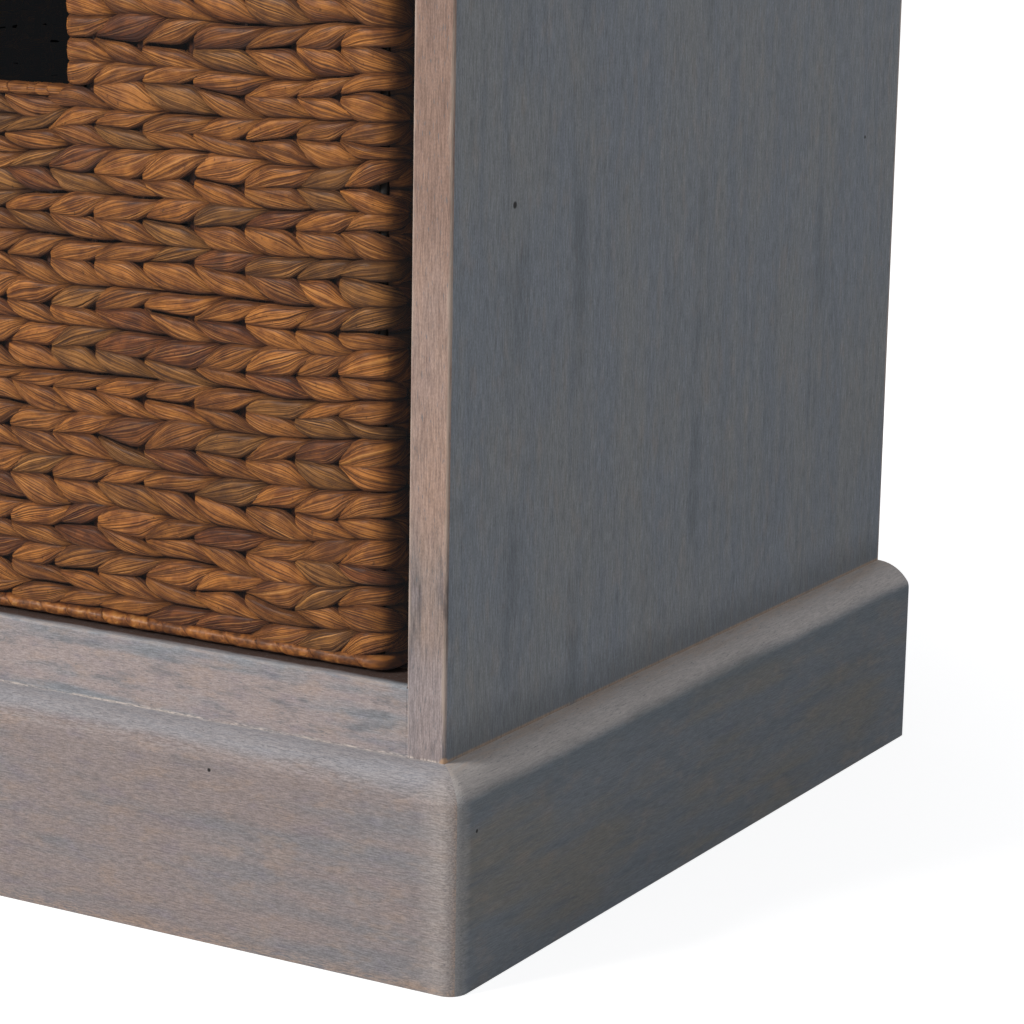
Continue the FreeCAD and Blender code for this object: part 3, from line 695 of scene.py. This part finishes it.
# %% Strand paths
OUTMOST = 3.1
HEAD_LENGTH, HEAD_POWER = 0.82, 2.3
TAIL_START, TAIL_LENGTH = -0.14, 0.96
BEHIND = 0.34


def at_stakes(table, row, number):
    """Values kept per row and stake, read at whole stake numbers that may run past the end."""
    return table[row, np.mod(number, STAKE_COUNT)]


def wavy(table, row, u):
    """Values kept per row and stake, read between stakes along a smooth curve."""
    whole = np.floor(u).astype(int)
    share = smooth(u - whole)
    return at_stakes(table, row, whole) * (1 - share) + at_stakes(table, row, whole + 1) * share


def strand(u, parity, weave, chosen, edge_hold=0.0):
    """Strands of the chosen half rows at stake numbers u[step].

    Returns points [row, step], and arrays of half height, half depth, tone, lean and out.
    lean is 1 where the leaf's ribs climb to the right and -1 where they fall. edge_hold is 1
    where a strand keeps its full height, as it does at the hole's edge.
    """
    lines, foot, spine = weave["rows"]
    row = chosen[:, None]
    number = parity + 2 * np.floor((u - parity + 1) / 2).astype(int)[None]
    past = u[None] - number
    head_shift = at_stakes(weave["slip"], row, number - 1)
    tail_shift = at_stakes(weave["slip"], row, number)
    head = 1 - (1 - np.clip((past + 1 - head_shift) / HEAD_LENGTH, 0, 1)) ** HEAD_POWER
    tail = smooth((past - TAIL_START - tail_shift) / TAIL_LENGTH)
    head, tail = np.maximum(head, edge_hold), tail * (1 - edge_hold)
    over = smooth((past - 0.7) / 0.3)
    size, lift, rise, tone = [
        at_stakes(weave[key], row, number) * (1 - over) + at_stakes(weave[key], row, number + 2) * over
        for key in ("size", "lift", "rise", "tone")
    ]
    hidden = np.clip((past - 0.6) / 0.4, 0, 1)
    away = smooth((past - 0.58) / 0.15) * (1 - edge_hold)
    middle = (head + tail) / 2 * (1 - away) + (1 + np.cos(np.pi * hidden)) / 2 * away
    half = (head - tail) / 2 * (1 - away) + (BEHIND + 0.08 * np.sin(np.pi * hidden)) * away
    half = np.maximum(half, BEHIND * (1 - smooth((past + 1) / 0.28)) * (1 - edge_hold))
    distance = stake_distance(u)[None]
    foot_z, spine_z = [
        bend(distance, lines[line[row]] + wavy(weave["wave"], line[row], u[None]), weave["zone"][row])
        for line in (foot, spine)
    ]
    pitch = spine_z - foot_z
    height = foot_z + pitch * middle + 0.75 * rise
    half_high = np.maximum(np.abs(pitch) * half * (1.1 + 0.13 * size), 0.85)
    up = smooth((past + 1.04) / 0.23) * (1 - smooth((past - 0.3) / 0.55))
    out = (OUTMOST - 0.9 * (past + 0.15) ** 2) * up - OUTMOST * (1 - up) + 0.5 * lift
    out = out * (1 - edge_hold) + (2 * parity - 1) * OUTMOST * edge_hold
    lean = np.where(row % 2, -1.0, 1.0) + 0 * past
    half_deep = 0.95 + 1.15 * np.clip(2 * half, 0, 1) ** 0.8
    return points(*wall_point(distance, out), height), half_high, half_deep, tone, lean, out


def turned_back(u, weave, chosen):
    """Strands beside the hand hole: in along the inside, round the hole's edge, and out again.

    u[step] runs from the hole's edge outward. The turn is a half circle about the edge. Near
    the edge both strands keep their full height, the front one in front and the other behind.
    """
    held = 1 - smooth((np.abs(stake_distance(u)) - HOLE_EDGE) / 9.0)
    behind, before = [strand(u, parity, weave, chosen, held) for parity in (0, 1)]
    behind = [a[:, ::-1] for a in behind]
    angle = np.linspace(-np.pi / 2, np.pi / 2, 9)[1:-1]
    share = smooth((angle / np.pi) + 0.5)
    sizes = [a[:, -1:] * (1 - share) + b[:, :1] * share for a, b in zip(behind[1:-1], before[1:-1])]
    x = np.sign(u[0]) * (HOLE_EDGE - OUTMOST * np.cos(angle))
    out = OUTMOST * np.sin(angle)
    z = behind[0][:, -1:, 2] * (1 - share) + before[0][:, :1, 2] * share
    turn = [points(x, FRONT_WALL - out, z), *sizes, out + 0 * z]
    return [np.concatenate(group, 1) for group in zip(behind, turn, before)]


# %% [markdown]
# ## The leaf fibre finish
# The strands are water-plant leaves, dried, twisted and varnished: honey, olive brown or
# reddish. Fine ribs run along them. Painted shade darkens each strand towards its lower
# edge, less towards its upper edge, and where it lies deep in the weave. The ring's angle
# makes the ribs and that edge shade, and marks on the points give each leaf its tone and say
# how deep in the weave a point lies.

# %% The fibre finish
def fibre_finish(name, dark=1.0, ribs=12.0, run=50.0, contrast=1.0):
    """Varnished dried leaf with painted shade as strong as dark: ribs is how fine the lines are round the
    strand, run their length in mm.
    """
    leaf = Finish(name)
    along, turn, _ = leaf.split(leaf.node("UVMap", {"uv_map": "run"}))
    tone, lift, twist = [
        leaf.node("Attribute", {"attribute_name": mark}, output="Fac")
        for mark in ("tone", "lift", "twist")
    ]
    angle = (turn + twist) * (2 * np.pi)
    c, s = angle.math("COSINE"), angle.math("SINE")
    upright = (turn * (2 * np.pi)).math("COSINE")

    def ribbed(fine, length, detail, shift):
        """Noise with lines along the strand: fine sets how many, length is in millimetres."""
        values = {0: c * fine, 1: s * fine, 2: along * (1 / length) + tone * 9.0 + shift}
        return leaf.noise(leaf.node("CombineXYZ", None, values), detail, 0.62)

    rib = ribbed(ribs, run, 2.0, 0.0)
    groove = ribbed(ribs * 0.42, run * 0.8, 1.0, 31.0)
    patch = ribbed(0.9, 8.0, 3.0, 57.0)
    speck = ribbed(2.2, 1.6, 1.0, 83.0)
    honey = leaf.mix(leaf.between(patch, 0.32, 0.68), paint(184, 117, 53), paint(126, 73, 32))
    olive = leaf.mix(leaf.between(patch, 0.35, 0.65), paint(156, 104, 50), paint(114, 74, 36))
    red = leaf.mix(leaf.between(patch, 0.35, 0.65), paint(134, 77, 36), paint(86, 46, 23))
    colour = leaf.mix(leaf.between(tone, 0.14, 0.26), olive, honey)
    colour = leaf.mix(leaf.between(tone, 0.84, 0.94), colour, red)
    colour = leaf.lit(colour, 0.78 + 0.44 * (tone * 7.0).math("FRACT"))
    colour = leaf.mix(leaf.between(rib, 0.53, 0.39) * (0.74 * contrast), colour, paint(54, 26, 14))
    colour = leaf.mix(leaf.between(groove, 0.40, 0.34) * (0.42 * contrast), colour, paint(42, 20, 12))
    colour = leaf.mix(leaf.between(rib, 0.55, 0.70) * 0.55, colour, paint(216, 154, 84))
    colour = leaf.mix(leaf.between(speck, 0.32, 0.24) * 0.5, colour, paint(40, 24, 15))
    # Painted shade: the strand is darkened towards its lower edge, less towards its upper edge, and where it
    # lies deep in the weave. dark sets how strong it is, and the dark brown below is the shade's colour.
    painted_edge_shade = leaf.between(upright, -0.15, -0.95) * 0.74 + leaf.between(upright, 0.62, 0.98) * 0.44
    deep = leaf.between(lift, 0.1, 0.85, 0.34, 1.0) * (1 - painted_edge_shade) * dark
    colour = leaf.mix(1.0, colour, leaf.mix(deep, (0.17, 0.07, 0.035, 1.0), WHITE), "MULTIPLY")
    rough = leaf.between(rib, 0.3, 0.7, 0.66, 0.44)
    relief = rib * 0.8 + groove
    varnish = {"Coat Weight": 0.04, "Coat Roughness": 0.24, "Specular IOR Level": 0.18}
    # A faint blue-white glow lifts the darkest parts of the fibre: painted light, since no lamp is there.
    painted_glow = {"Emission Color": (0.82, 0.9, 1.0, 1.0), "Emission Strength": 0.007}
    return leaf.shade(colour, rough, relief, 0.0009, varnish | painted_glow)

# %% [markdown]
# ## Weaving the walls
# A basket's wall is 16 chevrons, so 32 half rows of two strands each. Each wall is its own
# piece, cut just round the corner where the next wall hides the ends, and the front wall gets
# the most steps. Beside the hand hole the strands turn back; below and above it they run
# across.

# %% The walls of one basket
RIB_TWIST = 0.007
HOLE_EDGE = HOLE_HALF + 5.2
FRONT_END = CORNER_STAKES[0] + 0.45
BACK_START, BACK_END = CORNER_STAKES[1] - 0.45, CORNER_STAKES[2] + 0.45
rng = np.random.default_rng(42)
strand_finish = fibre_finish("woven_fibre")


def draw_weave(spines):
    """Every value that makes one leaf, edge or line of a basket different from the next.

    lines are the heights between half rows, which are the chevrons' feet and spines in turn.
    """
    feet = np.concatenate([[WALL_FOOT], (spines[1:] + spines[:-1]) / 2])
    lines = np.append(np.stack([feet, spines], 1), WALL_HEAD)
    half_row = np.arange(2 * len(spines))
    foot, spine = half_row + half_row % 2, half_row - half_row % 2 + 1
    middle = (lines[foot] + lines[spine]) / 2
    shape = (2 * len(spines), STAKE_COUNT)
    return {
        "rows": (lines, foot, spine),
        "zone": 1 * (middle > HEAD) - (middle < SILL),
        "slip": rng.uniform(-0.15, 0.15, shape),
        "size": rng.uniform(-1, 1, shape),
        "lift": rng.uniform(-1, 1, shape),
        "rise": rng.uniform(-1, 1, shape),
        "tone": rng.random(shape),
        "wave": rng.normal(0, 0.95, (shape[0] + 1, STAKE_COUNT)),
    }


def add_parts(name, parts, body, high, corners):
    """One mesh from several batches of strands that have the same number of steps."""
    line, half_high, half_deep, tone, lean, out = [np.concatenate(group) for group in zip(*parts)]
    line[..., 2] += high
    rings = section_rings(line, half_high, half_deep, corners, 2.5)
    along = run_length(line) + 37.0 * np.arange(len(line))[:, None]
    # lift, how far a point stands out of the weave, sets the fibre finish's painted shade: points deep in the
    # weave are painted darker.
    marks = {"tone": tone, "lift": np.abs(out) / OUTMOST, "twist": RIB_TWIST * lean * along}
    make_piece(name, body, "woven_fibre", strand_finish, rings, along, marks, body + "_woven_walls")


def weave_basket(body, high, weave):
    """The four walls of a basket whose foot stands at that height."""
    zone = weave["zone"]
    every = np.arange(len(zone))
    per_stake = np.array([0.0, 0.05, 0.1, 0.16, 0.23, 0.32, 0.44, 0.58, 0.72, 0.86])
    front = (np.arange(-10, 10)[:, None] + per_stake).ravel()
    front = front[np.abs(front) <= FRONT_END]
    for part, chosen in (("", zone < 0), ("_over_hole", zone > 0)):
        parts = [strand(front, parity, weave, every[chosen]) for parity in (0, 1)]
        add_parts(f"{body}_front_rows{part}", parts, body, high, 10)
    start = 2 + (HOLE_EDGE - STAKES[2]) / (STAKES[3] - STAKES[2])
    right = np.insert(front[front > start + 0.02], 0, start)
    left = np.insert(front[front < -start - 0.02][::-1], 0, -start)
    steps = min(len(right), len(left))
    right, left = [turned_back(side[:steps], weave, every[zone == 0]) for side in (right, left)]
    add_parts(body + "_front_turns", [right, [a[:, ::-1] for a in left]], body, high, 10)
    ends = (front[-1], BACK_START, BACK_END, STAKE_COUNT + front[0])
    for name, start, end in zip(("right", "back", "left"), ends, ends[1:]):
        u = np.linspace(start, end, round((end - start) * 7) + 1)
        parts = [strand(u, parity, weave, every) for parity in (0, 1)]
        add_parts(f"{body}_{name}_rows", parts, body, high, 8)


FEET = {body: box_mm(body + "_foot_binding")[0][2] for body in ("lower_basket", "upper_basket")}
row_shifts = (0.0, rng.normal(0, 0.5, len(SPINES)))
for (body, foot), shift in zip(FEET.items(), row_shifts):
    weave_basket(body, foot, draw_weave(SPINES + shift))

# %% [markdown]
# ## Stakes
# A stake shows only as a short dark upright between two leaves, darkened by painted shade.

# %% Upright stakes
STAKE_FOOT, STAKE_HEAD = 3.0, 272.0
# The stakes' finish has strong painted shade (dark 0.35), as they stand deep in the weave's notches.
stake_finish = fibre_finish("stake_fibre", 0.35)


def upright(places, *heights):
    """Lines straight up between two heights, [run, 2 steps], at distances round the wall."""
    return points(*wall_point(places[:, None], 0.0), np.array(heights))


def rod_rings(line, radius, corners=6):
    """Round rings in the level plane for upright lines, which then face outwards."""
    angle = np.arange(corners) * 2 * np.pi / corners
    return line[:, :, None] + points(np.cos(angle), np.sin(angle), 0) * radius


places = STAKES[:-1]
beside = np.abs(from_front(places)) > HOLE_EDGE
# Where the hand hole is, a stake has one part under it and one over it.
spans = ((beside, STAKE_FOOT, STAKE_HEAD), (~beside, STAKE_FOOT, 194.0), (~beside, 241.0, STAKE_HEAD))
for body, foot in FEET.items():
    line = np.concatenate([upright(places[chosen], foot + low, foot + high) for chosen, low, high in spans])
    along = np.array([0.0, 270.0]) + 11.0 * np.arange(len(line))[:, None]
    # lift 0.5 puts the stakes half into that painted shade.
    marks = {"tone": 0.9, "lift": 0.5}
    node = body + "_woven_walls"
    make_piece(body + "_stakes", body, "woven_fibre", stake_finish, rod_rings(line, 1.7), along, marks, node)

# %% [markdown]
# ## Wrapped edges
# The rim, the foot and the hand hole's sill and head are steel bars wrapped with a ribbon of
# leaf, each turn lapping the one before in a small step. The surface is the bar's section,
# swollen by a saw-tooth of the turn number: the distance along the bar counted in turns,
# less the share of the way round.

# %% Ribbon wraps
def wrap(line, half_high, half_deep, corners, swell, seed, widths, closed=False):
    """Rings, along and marks of a ribbon wound round a bar.

    widths has a number for each turn. Chance makes a turn wider or narrower than its number.
    """
    luck = np.random.default_rng(seed)
    turns = len(widths)
    steps = line.shape[1]
    edges = np.insert(np.cumsum(luck.uniform(0.5, 1.8, turns) * widths), 0, 0.0)
    place = np.arange(steps) / (steps if closed else steps - 1)
    count = np.interp(place, edges / edges[-1], np.arange(turns + 1))
    number = count[:, None] - (np.arange(corners) + 0.5) / corners
    part = number - np.floor(number)
    which = np.floor(number).astype(int) % turns
    fat = luck.uniform(0.0, 0.45, turns)[which]
    tooth = smooth(part / 0.14) * (1 - 0.75 * part)
    grow = swell * (0.15 + 0.6 * tooth + fat * np.sin(np.pi * part))
    base = section_rings(line, half_high, half_deep, corners, 2.6)
    away = base - line[..., None, :]
    rings = base + away / np.linalg.norm(away, axis=-1, keepdims=True) * grow[None, ..., None]
    tone = (luck.integers(2, 5, turns) + luck.uniform(0.0, 0.7, turns))[which] / 7
    # lift is low where a turn starts under the one before, so the finish paints shade into each step between
    # turns.
    lift = 0.15 + 0.85 * smooth(part / 0.12) * (1 - 0.25 * part)
    return rings, run_length(line), {"tone": tone[None], "lift": lift[None]}


def ring_line(height, steps):
    """A closed line round the wall at one height."""
    distance = np.arange(steps) / steps * ROUND_TRIP
    return points(*wall_point(distance, 0.0), height)[None]


# dark 0.76 and 1.0 set how strongly the wraps and the hand hole's edges are painted with shade.
wrap_finish = fibre_finish("wrapped_fibre", 0.76, 0.8, 5.0, 0.7)
sill_finish = fibre_finish("sill_fibre", 1.0, 6.0, 30.0, 0.8)
FOOT_LINE, RIM_LINE, SILL_LINE, HEAD_LINE = 3.2, 275.0, 197.3, 237.5
SILL_HALF = 57.0
even_turns = np.ones(110)
sill_turns = np.repeat([1.0, 4.5, 1.0], [5, 4, 5])
x = np.linspace(-SILL_HALF, SILL_HALF, 190)
sill_y = FRONT_WALL + 5.0 * smooth((np.abs(x) - 46.0) / 10)
for number, (body, foot) in enumerate(FEET.items()):
    for part, height, *section, seed in (
        ("foot", FOOT_LINE, 2.45, 5.1, 18, 0.75, 5),
        ("rim", RIM_LINE, 3.7, 4.2, 20, 0.8, 15),
    ):
        turns = wrap(ring_line(foot + height, 1600), *section, seed + number, even_turns, True)
        name = f"{body}_{part}_"
        make_piece(name + "wrap", body, "wrapped_fibre", wrap_finish, *turns, name + "binding", True)
    for part, height in (("sill", SILL_LINE), ("head", HEAD_LINE)):
        line = points(x, sill_y, foot + height + 0.5 * (x / SILL_HALF) ** 2)[None]
        turns = wrap(line, 2.0, 4.6, 16, 0.7, 25 + number, sill_turns)
        name = f"{body}_hand_hole_"
        make_piece(name + part, body, "wrapped_fibre", sill_finish, *turns, name + "binding")

# %% [markdown]
# ## The woven base
# The base is a plain weave: flat strands from side to side pass over one rod and under the
# next, as a cosine of the distance across, and every other strand the other way round. A
# strand is widest where it crosses a rod, so that it laps its neighbours.

# %% Base strands and rods
ROD_PITCH = 21.3
BASE_STRANDS = 36
for body in FEET:
    low, high = box_mm(body + "_woven_base")
    middle = (low[2] + high[2]) / 2
    y = np.linspace(low[1] + 4.8 - FORWARD, high[1] - 4.8, BASE_STRANDS)[:, None]
    x = np.linspace(low[0] + 1.5, high[0] - 1.5, 106)[None]
    side = np.tile([0.0, np.pi], BASE_STRANDS // 2)[:, None]
    line = points(x, y, middle + 1.6 * np.cos(np.pi * x / ROD_PITCH + side))
    wide = 6.0 + np.cos(2 * np.pi * x / ROD_PITCH) + 0 * y
    wide[[0, -1]] = 4.8
    rings = section_rings(line, 1.6, wide, 6)
    along = x - low[0] + 41.0 * np.arange(BASE_STRANDS)[:, None]
    # lift 0.75 gives the base strands a little of the fibre finish's painted shade. The rods below get the
    # stakes' strong painted shade.
    marks = {"tone": rng.random((BASE_STRANDS, 1)), "lift": 0.75}
    node = body + "_woven_base"
    make_piece(body + "_base_strands", body, "woven_fibre", strand_finish, rings, along, marks, node)
    x = np.arange(-8, 9)[:, None] * ROD_PITCH
    y = np.array([low[1] + 1.0 - FORWARD, high[1] - 1.0])
    rings = section_rings(points(x, y, middle), 1.5, 1.5, 6)
    along = y - y[0] + 11.0 * (x + 200.0)
    marks = {"tone": 0.9, "lift": 0.6}
    make_piece(body + "_base_rods", body, "woven_fibre", stake_finish, rings, along, marks, node)

# %% [markdown]
# ## Back board, steel and screws
# The back is a thin board under a plain wash, fixed with small cross-head screws. The steel
# frames are made again because the dressed baskets reach further than the solids.

# %% Back board, steel frames and screw heads
finish_node("back_panel", washed_wood("back_board", "back_panel", "Z", 41, plain_look, wear=0.3))


def steel_finish(name, colour, rough, metal):
    """Painted or bare steel with faint dust and rub marks."""
    steel = Finish(name)
    place = steel.scaled(steel.node("TexCoord", output="Object"), (160.0,) * 3)
    dust = steel.noise(place, 4.0, 0.6)
    shade = steel.mix(steel.between(dust, 0.35, 0.75) * 0.4, paint(*colour), paint(70, 66, 62))
    rough = steel.between(dust, 0.3, 0.7, rough, rough + 0.2)
    return steel.shade(shade, rough, dust, 0.0001, {"Metallic": metal, "Specular IOR Level": 0.2})


frame_finish = steel_finish("frame_steel", (34, 32, 31), 0.6, 0.0)
LOW_HOOP = 2.9
HOOP_ROD, POST_ROD, CROSS_ROD = 1.6, 1.9, 1.75
ends = np.array([-1.0, 1.0])
cross_y = CENTRE_Y + HALF_Y * np.array([[-0.5], [0.0], [0.5]])
for body, foot in FEET.items():
    hoops = np.concatenate([ring_line(foot + z, 360) for z in (LOW_HOOP, RIM_LINE)])
    posts = upright(STAKES[CORNER_STAKES], foot + LOW_HOOP, foot + RIM_LINE)
    hole_posts = upright(ends * HOLE_EDGE, foot + SILL_LINE, foot + RIM_LINE)
    cross_bars = points(ends * HALF_X, cross_y, foot + FOOT_LINE)
    hole_bars = points(ends * (SILL_HALF - 0.5), FRONT_WALL, foot + np.array([[SILL_LINE], [HEAD_LINE]]))
    parts = {
        "hoops": section_rings(hoops, HOOP_ROD, HOOP_ROD, 8),
        "posts": rod_rings(np.concatenate([posts, hole_posts]), POST_ROD, 8),
        "cross_bars": section_rings(cross_bars, CROSS_ROD, CROSS_ROD, 8),
        "hole_bars": section_rings(hole_bars, HOOP_ROD, HOOP_ROD, 8),
    }
    node = body + "_steel_frame"
    for part, rings in parts.items():
        name = f"{body}_steel_{part}"
        make_piece(name, body, "frame_steel", frame_finish, rings, node=node, closed=part == "hoops")

back_low, back_high = box_mm("back_panel")
heights = np.linspace(back_low[2] + 40, back_high[2] - 40, 6)
spots = [(x, z) for z in heights for x in (-207.8, 207.8)]
spots += [(x, z) for x in (-120.0, 0.0, 120.0) for z in (back_low[2] + 6.0, back_high[2] - 18.0)]
radial = np.array([2.9, 2.9, 2.6, 2.0, 1.6, 1.2, 0.8, 0.45, 0.1])[:, None]
height = np.array([0.0, 0.5, 0.95, 1.2, 1.3, 1.36, 1.4, 1.42, 1.42])[:, None]
angle = -np.arange(24) * np.pi / 12
x, z = radial * np.cos(angle), radial * np.sin(angle)
cross = ((np.abs(x) < 0.42) | (np.abs(z) < 0.42)) & (np.hypot(x, z) < 1.7)
centres = np.array([(x, back_high[1], z) for x, z in spots])[:, None, None]
head_rings = centres + points(x, height - 0.8 * cross, z)
screw_finish = steel_finish("screw_steel", (150, 148, 142), 0.35, 1.0)
make_piece("back_screws", "carcass", "frame_steel", screw_finish, head_rings)
